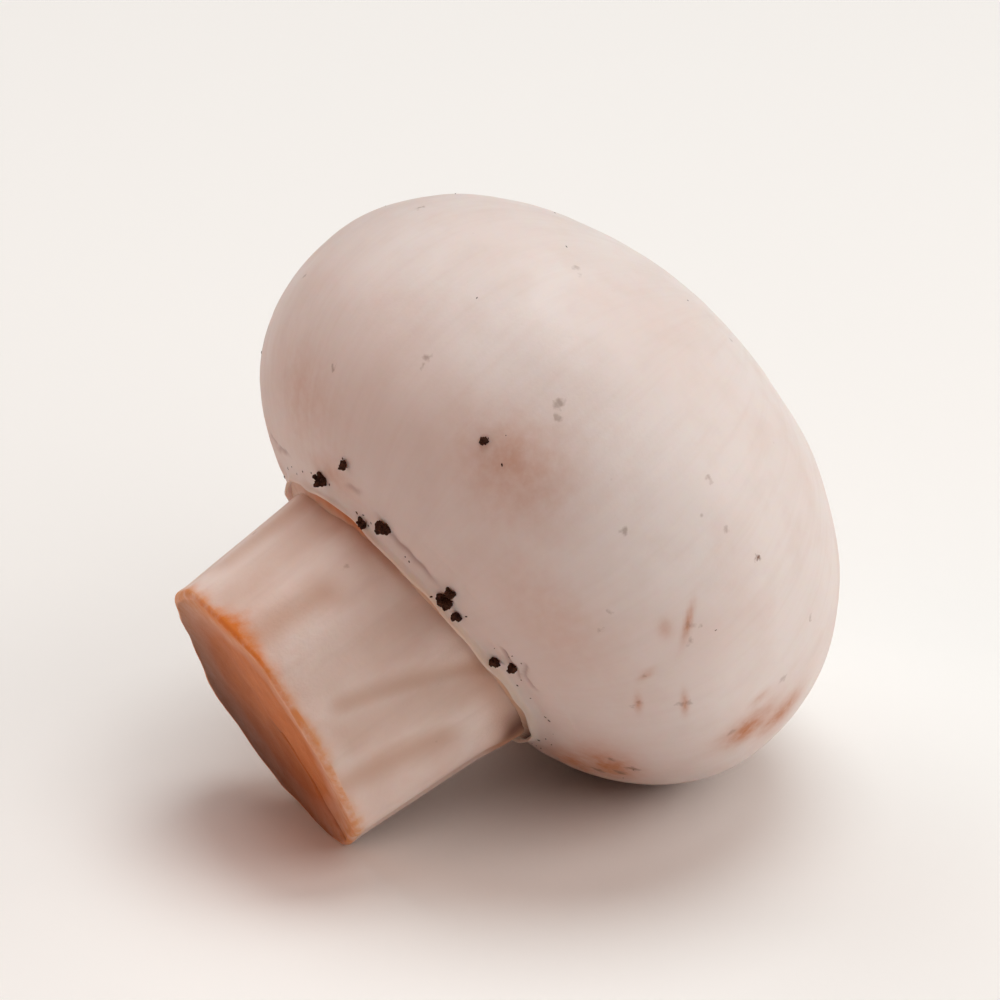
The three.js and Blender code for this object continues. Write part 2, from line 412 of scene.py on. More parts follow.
def add_relief_tree():
    """Flesh relief: swells, dimples and grain pushed along the normal, drawn out along a fibre
    direction, and pressed flat where the flesh would sink below the floor."""
    shape_tree, given = new_shape_tree("flesh_relief", {
        "Swell size": "Float", "Swell height": "Float", "Dimple size": "Float", "Dimple height": "Float",
        "Grain size": "Float", "Grain height": "Float", "Fibre direction": "Vector",
        "Fibre stretch": "Float", "Press softness": "Float", "Material": "Material",
    })
    position = add_node(shape_tree, "GeometryNodeInputPosition", out="Position")
    along = add_node(shape_tree, "ShaderNodeVectorMath", {0: position, 1: given.outputs["Fibre direction"]},
                     out="Value", operation="DOT_PRODUCT")
    kept = add_node(shape_tree, "ShaderNodeMath", {0: 1.0, 1: given.outputs["Fibre stretch"]},
                    out=0, operation="DIVIDE")
    squeeze = add_node(shape_tree, "ShaderNodeMath", {0: kept, 1: 1.0}, out=0, operation="SUBTRACT")
    shorten = add_node(shape_tree, "ShaderNodeMath", {0: along, 1: squeeze}, out=0, operation="MULTIPLY")
    shift = add_node(shape_tree, "ShaderNodeVectorMath",
                     {0: given.outputs["Fibre direction"], "Scale": shorten},
                     out="Vector", operation="SCALE")
    drawn_out = add_node(shape_tree, "ShaderNodeVectorMath", {0: position, 1: shift},
                         out="Vector", operation="ADD")
    total = None
    for layer, detail in (("Swell", 1.0), ("Dimple", 2.0), ("Grain", 3.0)):
        scale = add_node(shape_tree, "ShaderNodeMath", {0: 1.0, 1: given.outputs[layer + " size"]},
                         out=0, operation="DIVIDE")
        noise = add_node(shape_tree, "ShaderNodeTexNoise",
                         {"Vector": drawn_out, "Scale": scale, "Detail": detail}, out=0)
        centred = add_node(shape_tree, "ShaderNodeMath", {0: noise, 1: 0.5}, out=0, operation="SUBTRACT")
        height = add_node(shape_tree, "ShaderNodeMath", {0: centred, 1: given.outputs[layer + " height"]},
                          out=0, operation="MULTIPLY")
        total = height if total is None else add_node(
            shape_tree, "ShaderNodeMath", {0: total, 1: height}, out=0, operation="ADD")
    normal = add_node(shape_tree, "GeometryNodeInputNormal", out="Normal")
    push = add_node(shape_tree, "ShaderNodeVectorMath", {0: normal, "Scale": total},
                    out="Vector", operation="SCALE")
    raised = add_node(shape_tree, "GeometryNodeSetPosition",
                      {"Geometry": given.outputs["Geometry"], "Offset": push}, out="Geometry")
    moved = add_node(shape_tree, "GeometryNodeInputPosition", out="Position")
    parts = add_node(shape_tree, "ShaderNodeSeparateXYZ", {0: moved})
    pressed_z = add_node(shape_tree, "ShaderNodeMath",
                         {0: parts.outputs["Z"], 1: 0.0, 2: given.outputs["Press softness"]},
                         out=0, operation="SMOOTH_MAX")
    pressed = add_node(shape_tree, "ShaderNodeCombineXYZ",
                       {"X": parts.outputs["X"], "Y": parts.outputs["Y"], "Z": pressed_z}, out="Vector")
    settled = add_node(shape_tree, "GeometryNodeSetPosition", {"Geometry": raised, "Position": pressed},
                       out="Geometry")
    joined = add_node(shape_tree, "GeometryNodeRealizeInstances", {"Geometry": settled}, out="Geometry")
    finished = add_node(shape_tree, "GeometryNodeSetMaterial",
                        {"Geometry": joined, "Material": given.outputs["Material"]}, out="Geometry")
    add_node(shape_tree, "NodeGroupOutput", {"Geometry": finished})
    return shape_tree


relief_tree = add_relief_tree()


def add_specks(tree, place, spots):
    """How much of a speck there is at a place: the ragged neighbourhood of any of the spots, each
    given as its centre, its size in millimetres and its strength."""
    wobble = add_node(tree, "ShaderNodeTexNoise",
                      {"Vector": place, "Scale": 1 / (speck_wobble * MM), "Detail": 2.0}, out="Color")
    wobble = add_node(tree, "ShaderNodeVectorMath", {0: wobble, 1: (0.5, 0.5, 0.5)}, out="Vector",
                      operation="SUBTRACT")
    wobble = add_node(tree, "ShaderNodeVectorMath", {0: wobble, "Scale": 2 * speck_wobble * MM},
                      out="Vector", operation="SCALE")
    uneven_place = add_node(tree, "ShaderNodeVectorMath", {0: place, 1: wobble}, out="Vector",
                            operation="ADD")
    specked = None
    for centre, size, strength in spots:
        distance = add_node(tree, "ShaderNodeVectorMath", {0: uneven_place, 1: tuple(centre)}, out="Value",
                            operation="DISTANCE")
        speck = add_node(tree, "ShaderNodeMapRange", {
            0: distance, 1: 0.45 * size * MM, 2: 1.3 * size * MM, 3: strength, 4: 0.0,
        }, out=0)
        specked = speck if specked is None else add_node(
            tree, "ShaderNodeMath", {0: specked, 1: speck}, out=0, operation="MAXIMUM")
    return specked


# Mushroom cap skin: living flesh under a satin skin. Light goes a millimetre or two into it, so
# its shadows are soft and warm. Creamy white with a pink flush, faint silky fibrils that run from
# crown to margin, and a few bitten-in specks.
cap_material, tree = new_material("mushroom_cap_skin")
place = add_node(tree, "ShaderNodeTexCoord", out="Object")
flush_noise = add_node(tree, "ShaderNodeTexNoise",
                       {"Vector": place, "Scale": 1 / (12 * MM), "Detail": 2.0}, out=0)
flush = add_node(tree, "ShaderNodeMapRange", {0: flush_noise, 1: 0.42, 2: 0.70, 3: 0.0, 4: 0.5}, out=0)
skin = add_node(tree, "ShaderNodeMix", {0: flush, 6: srgb("#E8DDD9"), 7: srgb("#DEC8C0")},
                out=2, data_type="RGBA")
cloud_noise = add_node(tree, "ShaderNodeTexNoise",
                       {"Vector": place, "Scale": 1 / (3.2 * MM), "Detail": 4.0, "Roughness": 0.55}, out=0)
cloud = add_node(tree, "ShaderNodeMapRange", {0: cloud_noise, 1: 0.46, 2: 0.75, 3: 0.0, 4: 0.30}, out=0)

# Fibrils: noise on a cylinder round the cap's own axis, so its streaks all run to the crown.
upright = add_node(tree, "ShaderNodeMapping", {
    "Vector": place, "Location": tuple(cap_shift), "Rotation": (0, math.pi / 2 - axis_rise, 0),
}, out="Vector", vector_type="TEXTURE")
across = add_node(tree, "ShaderNodeVectorMath", {0: upright, 1: (1, 1, 0)}, out="Vector",
                  operation="MULTIPLY")
around = add_node(tree, "ShaderNodeVectorMath", {0: across}, out="Vector", operation="NORMALIZE")
around = add_node(tree, "ShaderNodeVectorMath", {0: around, "Scale": fibrils_round_cap}, out="Vector",
                  operation="SCALE")
down = add_node(tree, "ShaderNodeVectorMath", {0: upright, 1: (0, 0, 1 / (fibril_length * MM))},
                out="Vector", operation="MULTIPLY")
fibril_place = add_node(tree, "ShaderNodeVectorMath", {0: around, 1: down}, out="Vector", operation="ADD")
fibril_noise = add_node(tree, "ShaderNodeTexNoise",
                        {"Vector": fibril_place, "Scale": 1.0, "Detail": 3.0, "Roughness": 0.6}, out=0)
fibril = add_node(tree, "ShaderNodeMapRange", {0: fibril_noise, 1: 0.45, 2: 0.75, 3: 0.0, 4: 0.12}, out=0)

painted = {mark: add_node(tree, "ShaderNodeAttribute", out="Fac", attribute_name=mark)
           for mark in ("margin", "bruise_and_bounce_light", "crease_shade", "lip")}
ragged_noise = add_node(tree, "ShaderNodeTexNoise",
                        {"Vector": place, "Scale": 1 / (0.9 * MM), "Detail": 4.0, "Roughness": 0.6}, out=0)
ragged = add_node(tree, "ShaderNodeMapRange", {0: ragged_noise, 1: 0.34, 2: 0.64, 3: 0.72, 4: 1.08}, out=0)
browning_and_painted_light = add_node(tree, "ShaderNodeMath", {0: painted["bruise_and_bounce_light"], 1: ragged}, out=0,
                   operation="MULTIPLY", use_clamp=True)
specked = add_specks(tree, place, [
    (lay_down(cap_skin(math.radians(around), math.radians(down))), size, strength)
    for around, down, size, strength in specks])

# Flecks: small round freckles, one in some of the cells of a three-millimetre pattern.
fleck_cells = add_node(tree, "ShaderNodeTexVoronoi", {"Vector": place, "Scale": 1 / (3.0 * MM)})
fleck_size = add_node(tree, "ShaderNodeSeparateColor", {0: fleck_cells.outputs["Color"]})
fleck_reach = add_node(tree, "ShaderNodeMapRange",
                       {0: fleck_size.outputs[0], 1: 0.6, 2: 1.0, 3: 0.0, 4: 0.07}, out=0)
fleck_edge = add_node(tree, "ShaderNodeMath", {0: fleck_reach, 1: fleck_cells.outputs["Distance"]},
                      out=0, operation="SUBTRACT")
fleck = add_node(tree, "ShaderNodeMapRange", {0: fleck_edge, 1: 0.0, 2: 0.05, 3: 0.0, 4: 0.45}, out=0)

# Each layer lies over the ones before it: where it shows, and its colour. The margin and crease
# layers are painted shade, and the bruise layer holds one mark of painted warm light.
layers = [
    (cloud, "#D9C3BA"), (painted["margin"], "#C4A9A0"), (fibril, "#CDB2A6"), (browning_and_painted_light, "#BC7345"),
    (painted["crease_shade"], "#B29690"), (painted["lip"], "#DFC1B2"), (specked, "#83604F"), (fleck, "#8E7063"),
]
for shown, colour in layers:
    skin = add_node(tree, "ShaderNodeMix", {0: shown, 6: skin, 7: srgb(colour)}, out=2, data_type="RGBA")

sheen_noise = add_node(tree, "ShaderNodeTexNoise",
                       {"Vector": place, "Scale": 1 / (3 * MM), "Detail": 3.0}, out=0)
roughness = add_node(tree, "ShaderNodeMapRange", {0: sheen_noise, 1: 0.3, 2: 0.7, 3: 0.44, 4: 0.60}, out=0)
pore_noise = add_node(tree, "ShaderNodeTexNoise",
                      {"Vector": place, "Scale": 1 / (0.35 * MM), "Detail": 3.0, "Roughness": 0.6}, out=0)
pores = add_node(tree, "ShaderNodeBump", {"Height": pore_noise, "Strength": 0.08, "Distance": 0.2 * MM},
                 out="Normal")
silk = add_node(tree, "ShaderNodeBump", {
    "Height": fibril_noise, "Strength": 0.05, "Distance": 0.3 * MM, "Normal": pores,
}, out="Normal")
shader = add_node(tree, "ShaderNodeBsdfPrincipled", {
    "Base Color": skin, "Roughness": roughness, "Normal": silk, "IOR": 1.38,
    "Specular IOR Level": 0.4, "Subsurface Weight": 0.4, "Subsurface Radius": flesh_glow,
    "Subsurface Scale": 1.8 * MM,
}, out="BSDF")
add_node(tree, "ShaderNodeOutputMaterial", {"Surface": shader})

angle = np.linspace(0, 2 * math.pi, cap_columns, endpoint=False)
rows, polars = [], []
for polar in np.linspace(0, skin_polar, cap_rows + 1)[1:]:
    rows.append(cap_skin(angle, np.full_like(angle, polar)))
    polars.append(polar)
skin_end_radius = np.hypot(rows[-1][:, 0] / (1 + ovality), rows[-1][:, 1] / (1 - ovality))
lip_ring = lip_radius + waves(angle, lip_wander)
lip_rise = lip_height * (1 + waves(angle, [(3, 0.25, 0.2), (8, 0.2, 1.3), (19, 0.15, 0.7)]))
groove_here = groove_depth * (1 + waves(angle, [(2, 0.4, 2.0), (5, 0.3, 1.1), (11, 0.2, 0.3)]))
inner_ring = lip_ring - 1.6 * lip_width
for share in np.linspace(0, 1, margin_rows + 1)[1:]:
    radius = skin_end_radius * (1 - share) + inner_ring * share
    level = underside(angle, radius) + groove_here * bell(radius - groove_radius, groove_width)
    level -= lip_rise * bell(radius - lip_ring, lip_width)
    rows.append(ring_points(angle, radius, level, oval=ovality))
    polars.append(skin_polar + (margin_end_polar - skin_polar) * share)
for radius, level in seat_profile:
    rows.append(ring_points(angle, radius, level, off_centre=seat_off_centre))
    polars.append(seat_polar)
rows = np.array(rows)
polar_of_row = np.array(polars)[:, None]
reach = np.hypot(rows[..., 0], rows[..., 1])


def from_mark(mark_angle, mark_polar):
    """How far each point of the skin lies from a mark, round the cap and along it, in millimetres."""
    off_angle = (angle[None, :] - math.radians(mark_angle) + math.pi) % (2 * math.pi) - math.pi
    return off_angle * reach, (polar_of_row - math.radians(mark_polar)) * mm_per_polar


bruising_and_bounce_light = np.zeros(reach.shape)
for mark_angle, mark_polar, reach_round, reach_along, turn, strength in bruises_and_bounce_light:
    off_round, off_along = from_mark(mark_angle, mark_polar)
    turn = math.radians(turn)
    off_first = off_round * math.cos(turn) + off_along * math.sin(turn)
    off_second = off_along * math.cos(turn) - off_round * math.sin(turn)
    bruising_and_bounce_light = np.maximum(bruising_and_bounce_light, strength * bell(off_first, reach_round) * bell(off_second, reach_along))
# Painted shade in each crease, darker where the crease is deeper.
crease_shading = np.zeros(reach.shape)
deepest_crease = max(depth for *_, depth in creases)
for mark_angle, mark_polar, half_length, half_width, turn, depth in creases:
    off_round, off_along = from_mark(mark_angle, mark_polar)
    off_line = off_along - turn * off_round - 0.1 * np.sin(4 * off_round)
    fold = bell(off_line, half_width) * np.exp(-(off_round / half_length) ** 4)
    rows[..., 2] += depth * fold
    crease_shading = np.maximum(crease_shading, fold * depth / deepest_crease)
underneath = polar_of_row > math.radians(120)
lipped = bell(reach - lip_ring, 1.5 * lip_width) * underneath

# Painted shade: the skin is darker toward the margin, which turns down from the light, but less so
# on the side that faces up.
toward_margin = np.clip((polar_of_row - math.radians(88)) / math.radians(45), 0, 1)
less_shade_on_top = 1 - 0.8 * bell_round(angle, 170, 42)
shade_wander = 1 + waves(angle, [(2, 0.15, 0.5), (5, 0.1, 2.0)])
margin = margin_tint * toward_margin ** 1.3 * less_shade_on_top * shade_wander * (1 - lipped)
laid_rows = lay_down(rows)
peat = groove_dust * bell(reach - groove_radius, groove_dust_reach) * underneath
crumb_names = sorted(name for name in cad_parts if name.startswith("soil_crumb"))
for crumb_name in crumb_names:
    crumb_middle = np.array(sum(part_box(crumb_name), Vector()) / 2)
    from_crumb = np.linalg.norm(laid_rows - crumb_middle, axis=-1) / MM
    peat = np.maximum(peat, np.exp(-(from_crumb / crumb_dust_reach) ** 4))
crown_pole = np.array([[crown_lean, 0, crown_height]])
seat_pole = np.array([[seat_off_centre, 0, seat_profile[-1][1]]])
cap = closed_mesh("mushroom_cap", laid_rows, lay_down(crown_pole), lay_down(seat_pole),
                  {"bruise_and_bounce_light": bruising_and_bounce_light, "crease_shade": crease_shading, "lip": lipped, "margin": margin, "peat": peat})
run_shape_tree(cap, relief_tree, {
    "Swell size": 13 * MM, "Swell height": 0.8 * MM, "Dimple size": 4.5 * MM, "Dimple height": 0.14 * MM,
    "Grain size": 1.2 * MM, "Grain height": 0.03 * MM, "Fibre direction": (0, 0, 1), "Fibre stretch": 1.0,
    "Press softness": 0.35 * MM, "Material": cap_material,
})
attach(cap, "root")
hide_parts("cap")

# ----------------------------------------------------------------------------------------------
# Stem. A stout column of stringy flesh with soft lengthwise flutes, grown into the cap's seat and a
# little thicker there. A knife cut it off short, and the cut rim and face have browned since.
# ----------------------------------------------------------------------------------------------
stem_top_radius = 11.35
stem_cut_radius = 10.6
stem_length = 13.9
stem_seat_depth = 2.1
stem_mouth = np.array([0.25, 0, -12])
stem_bend = math.radians(6.5)
cut_slope = math.tan(math.radians(3))
rim_round = 0.40
stem_swell = 0.12  # how much it thickens where it meets the cap
burr_height = 0.06  # of the ragged ring that the knife pressed out round the cut
dish_depth = 0.45  # how far the cut face has sunk as it dried
crack_angle = math.radians(330)
crack_depth = 0.9
crack_width = 0.28
stem_columns = 288
stem_rows = 90
rim_rows = 8
face_rows = 54
stem_facets = [(5, 0.016, 0.4), (8, 0.014, 2.4), (13, 0.005, 1.0)]
scald_angle = 196  # where the cut rim has turned the brightest orange
rim_reach = 0.62  # how far up the side the browning of the cut has crept
scald_reach = 0.85  # and how far the orange has
flute_fade = 1.4  # how softly a flute begins and ends

# Flutes down its side: angle at the cut, angle at the cap, half width in degrees, depth in
# millimetres, how much painted shade lies in it, and how far from the cap it starts and ends.
flutes = [
    (205, 214, 7, 0.17, 0.60, 7.5, 14), (243, 268, 5, 0.20, 0.60, 1.5, 10.5),
    (254, 276, 10, 0.08, 0.40, 2.0, 11.5), (273, 292, 7, 0.16, 0.60, 6.0, 14),
    (226, 232, 6, 0.06, 0.20, 3.0, 9.0), (316, 320, 8, 0.17, 0.50, 2.0, 12),
    (348, 344, 7, 0.15, 0.45, 5.0, 14), (18, 24, 8, 0.18, 0.50, 1.0, 10),
    (52, 47, 7, 0.17, 0.60, 4.0, 14), (88, 94, 9, 0.16, 0.45, 1.0, 11),
    (124, 118, 7, 0.18, 0.60, 5.0, 14), (158, 164, 8, 0.13, 0.45, 2.0, 10),
]

# Nicks from handling: angle round the stem, distance from the cap, size in millimetres, strength.
nicks = [
    (231, 8.2, 0.42, 0.55), (233, 7.6, 0.25, 0.40), (205, 5.0, 0.24, 0.35), (262, 3.6, 0.26, 0.35),
    (281, 6.4, 0.30, 0.40), (248, 11.6, 0.30, 0.45), (150, 7.0, 0.36, 0.50), (110, 4.4, 0.26, 0.40),
    (84, 9.6, 0.34, 0.50), (40, 6.2, 0.30, 0.45), (325, 9.0, 0.30, 0.45),
]


def stand_stem(points):
    """Carries points of the straight stem, mouth at the origin and cut downward, onto the bent stem."""
    toward_cut = np.maximum(0, -points[..., 2] / stem_length)
    z = points[..., 2] + toward_cut * cut_slope * points[..., 1]
    x = points[..., 0] * math.cos(stem_bend) + z * math.sin(stem_bend)
    z = z * math.cos(stem_bend) - points[..., 0] * math.sin(stem_bend)
    return np.stack([x, points[..., 1], z], axis=-1) + stem_mouth


# Mushroom stem flesh: matte, drier and more fibrous than the cap. The cut rim has browned to
# orange and the cut face to a fox brown, with painted shade darkest along the edge that it lies on.
stem_material, tree = new_material("mushroom_stem_flesh")
place = add_node(tree, "ShaderNodeTexCoord", out="Object")
tone_noise = add_node(tree, "ShaderNodeTexNoise",
                      {"Vector": place, "Scale": 1 / (5 * MM), "Detail": 3.0}, out=0)
tone = add_node(tree, "ShaderNodeMapRange", {0: tone_noise, 1: 0.4, 2: 0.7, 3: 0.0, 4: 0.8}, out=0)
flesh = add_node(tree, "ShaderNodeMix", {0: tone, 6: srgb("#EBD9D1"), 7: srgb("#DFC5BA")},
                 out=2, data_type="RGBA")
painted = {mark: add_node(tree, "ShaderNodeAttribute", out="Fac", attribute_name=mark)
           for mark in ("valley_shade", "hollow_shade", "rim", "cut", "dark_shade", "scald")}
stem_turn = (0, math.pi / 2 - axis_rise + stem_bend, 0)  # turns the stem's own axis to Z
fibre_place = add_node(tree, "ShaderNodeMapping", {
    "Vector": place, "Rotation": stem_turn, "Scale": (1.2 * MM, 1.2 * MM, 8 * MM),
}, out="Vector", vector_type="TEXTURE")
fibre_noise = add_node(tree, "ShaderNodeTexNoise",
                       {"Vector": fibre_place, "Scale": 1.0, "Detail": 3.0}, out=0)
fibre = add_node(tree, "ShaderNodeMapRange", {0: fibre_noise, 1: 0.5, 2: 0.8, 3: 0.0, 4: 0.30}, out=0)
nicked = add_specks(tree, place, [
    (lay_down(stand_stem(ring_points(math.radians(around), stem_top_radius, -down))), size, strength)
    for around, down, size, strength in nicks])
ragged_noise = add_node(tree, "ShaderNodeTexNoise",
                        {"Vector": place, "Scale": 1 / (1.4 * MM), "Detail": 4.0, "Roughness": 0.65}, out=0)
ragged = add_node(tree, "ShaderNodeMapRange", {0: ragged_noise, 1: 0.3, 2: 0.65, 3: 0.3, 4: 1.25}, out=0)
rim_amount = add_node(tree, "ShaderNodeMath", {0: painted["rim"], 1: ragged}, out=0,
                      operation="MULTIPLY", use_clamp=True)
cut_tone = add_node(tree, "ShaderNodeMix", {0: ragged_noise, 6: srgb("#D6824C"), 7: srgb("#B4602F")},
                    out=2, data_type="RGBA")
scald_amount = add_node(tree, "ShaderNodeMath", {0: painted["scald"], 1: ragged}, out=0,
                        operation="MULTIPLY", use_clamp=True)
# The valley, hollow and dark layers are painted shade, the hollow with some real browning.
layers = [
    (painted["valley_shade"], srgb("#C3967C")), (fibre, srgb("#C9AA9B")), (painted["hollow_shade"], srgb("#BE7848")),
    (nicked, srgb("#96705C")), (rim_amount, srgb("#DB9A68")), (painted["cut"], cut_tone),
    (painted["dark_shade"], srgb("#481C0B")), (scald_amount, srgb("#D67A34")),
]
for shown, colour in layers:
    flesh = add_node(tree, "ShaderNodeMix", {0: shown, 6: flesh, 7: colour}, out=2, data_type="RGBA")
grain_noise = add_node(tree, "ShaderNodeTexNoise",
                       {"Vector": place, "Scale": 1 / (0.3 * MM), "Detail": 3.0, "Roughness": 0.6}, out=0)
grain = add_node(tree, "ShaderNodeBump", {"Height": grain_noise, "Strength": 0.2, "Distance": 0.2 * MM},
                 out="Normal")
shader = add_node(tree, "ShaderNodeBsdfPrincipled", {
    "Base Color": flesh, "Roughness": 0.66, "Normal": grain, "IOR": 1.38,
    "Specular IOR Level": 0.3, "Subsurface Weight": 0.35, "Subsurface Radius": flesh_glow,
    "Subsurface Scale": 1.5 * MM,
}, out="BSDF")
add_node(tree, "ShaderNodeOutputMaterial", {"Surface": shader})

angle = np.linspace(0, 2 * math.pi, stem_columns, endpoint=False)
facets = waves(angle, stem_facets)
burr = burr_height * (1 + waves(angle, [(3, 0.5, 1.0), (8, 0.4, 0.2), (21, 0.35, 2.0)]))
rows, downs, flute_shade_marks = [], [], []
for share in np.linspace(0, 1, stem_rows):
    down = -stem_seat_depth + (stem_length - rim_round + stem_seat_depth) * share
    below = max(0.0, down) / stem_length
    radius = stem_top_radius + (stem_cut_radius - stem_top_radius) * below
    radius = radius * (1 + facets * min(1, max(0, down / 3)))
    radius = radius + stem_swell * bell(down - 1.2, 1.5)
    radius = radius + burr * bell(down - stem_length + rim_round, 0.5)
    shaded_flutes = np.zeros_like(angle)
    for cut_angle, cap_angle, half_width, depth, shade_strength, start, end in flutes:
        flute_angle = cut_angle + (cap_angle - cut_angle) * (1 - below) ** 1.5
        past_its_ends = max(0, start - down, down - end)
        flute = bell_round(angle, flute_angle, half_width) * bell(past_its_ends, flute_fade)
        radius = radius - depth * flute
        shaded_flutes = np.maximum(shaded_flutes, shade_strength * flute)
    rows.append(ring_points(angle, radius, -down))
    downs.append(down)
    flute_shade_marks.append(shaded_flutes)
rim_outline = radius
for turn in np.linspace(0, math.pi / 2, rim_rows + 1)[1:]:
    level = rim_round * (1 - math.sin(turn)) - stem_length
    rows.append(ring_points(angle, rim_outline - rim_round * (1 - math.cos(turn)), level))
side_rows = len(rows)

# The cut face: a shallow dish with one crack that wanders in from the rim.
face_share = np.linspace(0, 1, face_rows + 2)[1:-1][:, None]
face_radius = (rim_outline - rim_round) * (1 - face_share)
crack_wander = 0.25 * np.sin(5 * face_share + 1) * face_share
off_crack = np.abs((angle - crack_angle - crack_wander + math.pi) % (2 * math.pi) - math.pi) * face_radius
crack_run = np.sin(math.pi * np.minimum(1, face_share * 1.15)) ** 0.5
crack = crack_depth * bell(off_crack, crack_width) * crack_run
dish = dish_depth * (1 - (1 - face_share) ** 3)
rows = np.concatenate([rows, ring_points(angle, face_radius, dish + crack - stem_length)])

# What is painted on the side, row by row: the browning that creeps up from the cut, painted shade in
# the flutes, painted warm shade with some real browning in the hollow under the lip, and a painted
# shadow in the corner where the stem nears the floor.
rim_mark, cut_mark, hollow_shade_mark, valley_shade_mark, scald_mark, shade_mark = np.zeros((6,) + rows.shape[:2])
scald_round = bell_round(angle, scald_angle, 30)
hollow_shade_round = 0.30 + 0.62 * scald_round + 0.45 * bell_round(angle, 315, 20)
rim_uneven = 1 + waves(angle, [(3, 0.20, 2.2), (7, 0.22, 0.9), (12, 0.18, 3.0), (29, 0.12, 1.5)])
shaded_corner = bell_round(angle, 303, 13)
for row, down in enumerate(downs):
    to_cut = stem_length - down
    rim_mark[row] = bell(to_cut, rim_reach * rim_uneven)
    scald_mark[row] = bell(to_cut, scald_reach * rim_uneven) * scald_round
    shade_mark[row] = 0.80 * shaded_corner * bell(max(0, down - 0.9), 1.0)
    hollow_shade_mark[row] = hollow_shade_round * bell(max(0, down - 1.2), 1.3 + 0.7 * scald_round)
    # Painted shade in the valleys between the facets and in the flutes.
    valley_shade_mark[row] = np.clip(0.2 - facets / 0.03, 0, 1) * min(1, max(0, down / 4)) * 0.3
    valley_shade_mark[row] = np.maximum(valley_shade_mark[row], flute_shade_marks[row])
for row in range(stem_rows, side_rows):
    turned = (row - stem_rows + 1) / rim_rows
    rim_mark[row], cut_mark[row], scald_mark[row] = 0.9, turned * 0.3, scald_round

# What is painted on the face: brown all over, bright at the rim, and painted shade that is darkest
# away from the light, on the lower edge and in the crack.
rim_mark[side_rows:] = np.clip(1 - face_share * 2.5, 0, 1)
cut_mark[side_rows:] = np.clip(0.3 + face_share * 2.0, 0, 1)
scald_mark[side_rows:] = np.clip(1 - face_share * 4, 0, 1) * scald_round
far_side = np.clip(0.22 + face_radius * np.sin(angle + 0.3) / stem_cut_radius * 0.85, 0, 1)
lower_side = np.clip(np.cos(angle), 0, 1)
in_crack = bell(off_crack, 0.22) * np.minimum(1, (1 - face_share) * 4)
shade_mark[side_rows:] = np.clip(0.8 * far_side ** 1.3 + 0.2 * lower_side ** 2 + 0.8 * in_crack, 0, 1)
top_pole = np.array([[0, 0, stem_seat_depth]])
cut_pole = np.array([[0, 0, dish_depth - stem_length]])
stem = closed_mesh("mushroom_stem", lay_down(stand_stem(rows)), lay_down(stand_stem(top_pole)),
                   lay_down(stand_stem(cut_pole)),
                   {"rim": rim_mark, "hollow_shade": hollow_shade_mark, "valley_shade": valley_shade_mark, "cut": cut_mark,
                    "scald": scald_mark, "dark_shade": shade_mark})
stem_axis = lay_down(stand_stem(cut_pole))[0] - lay_down(stand_stem(top_pole))[0]
stem_axis /= np.linalg.norm(stem_axis)
run_shape_tree(stem, relief_tree, {
    "Swell size": 5 * MM, "Swell height": 0.55 * MM, "Dimple size": 1.8 * MM, "Dimple height": 0.10 * MM,
    "Grain size": 0.6 * MM, "Grain height": 0.035 * MM, "Fibre direction": tuple(stem_axis),
    "Fibre stretch": 9.0, "Press softness": 0.25 * MM, "Material": stem_material,
})
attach(stem, "root")
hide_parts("stem")

# ----------------------------------------------------------------------------------------------
# Veil. The thin damp membrane that still closes the gap between the cap's lip and the stem. It
# grew fast to both, and it has begun to brown and wrinkle as the stem pulls away from the cap.
# ----------------------------------------------------------------------------------------------
veil_columns = 320
veil_rows = 12
veil_in_lip = 0.12  # how far its outer edge runs into the lip
veil_in_stem = 0.25  # and its inner edge into the stem
wrinkle_height = 0.05
veil_thickness = 0.35
veil_fall = 0.35  # how much lower its stem side lies than its cap side

# Mushroom veil: a wet-looking brown film over pale flesh, glossier than the skin on both sides.
veil_material, tree = new_material("mushroom_veil_membrane")
place = add_node(tree, "ShaderNodeTexCoord", out="Object")
film_noise = add_node(tree, "ShaderNodeTexNoise",
                      {"Vector": place, "Scale": 1 / (2.2 * MM), "Detail": 4.0}, out=0)
film = add_node(tree, "ShaderNodeMix", {0: film_noise, 6: srgb("#DBB096"), 7: srgb("#BE8B6E")},
                out=2, data_type="RGBA")
# Painted warm shade over some real browning on the upper side, a painted shadow near the floor, and paler
# flesh at the foot.
for mark, colour in (("browning_and_painted_light", "#C26C36"), ("dark_shade", "#4A2011"), ("foot", "#DDB8A2")):
    painted = add_node(tree, "ShaderNodeAttribute", out="Fac", attribute_name=mark)
    film = add_node(tree, "ShaderNodeMix", {0: painted, 6: film, 7: srgb(colour)}, out=2, data_type="RGBA")
shader = add_node(tree, "ShaderNodeBsdfPrincipled", {
    "Base Color": film, "Roughness": 0.45, "IOR": 1.38, "Specular IOR Level": 0.4,
    "Subsurface Weight": 0.4, "Subsurface Radius": (1.0, 0.45, 0.25), "Subsurface Scale": 1.0 * MM,
}, out="BSDF")
add_node(tree, "ShaderNodeOutputMaterial", {"Surface": shader})

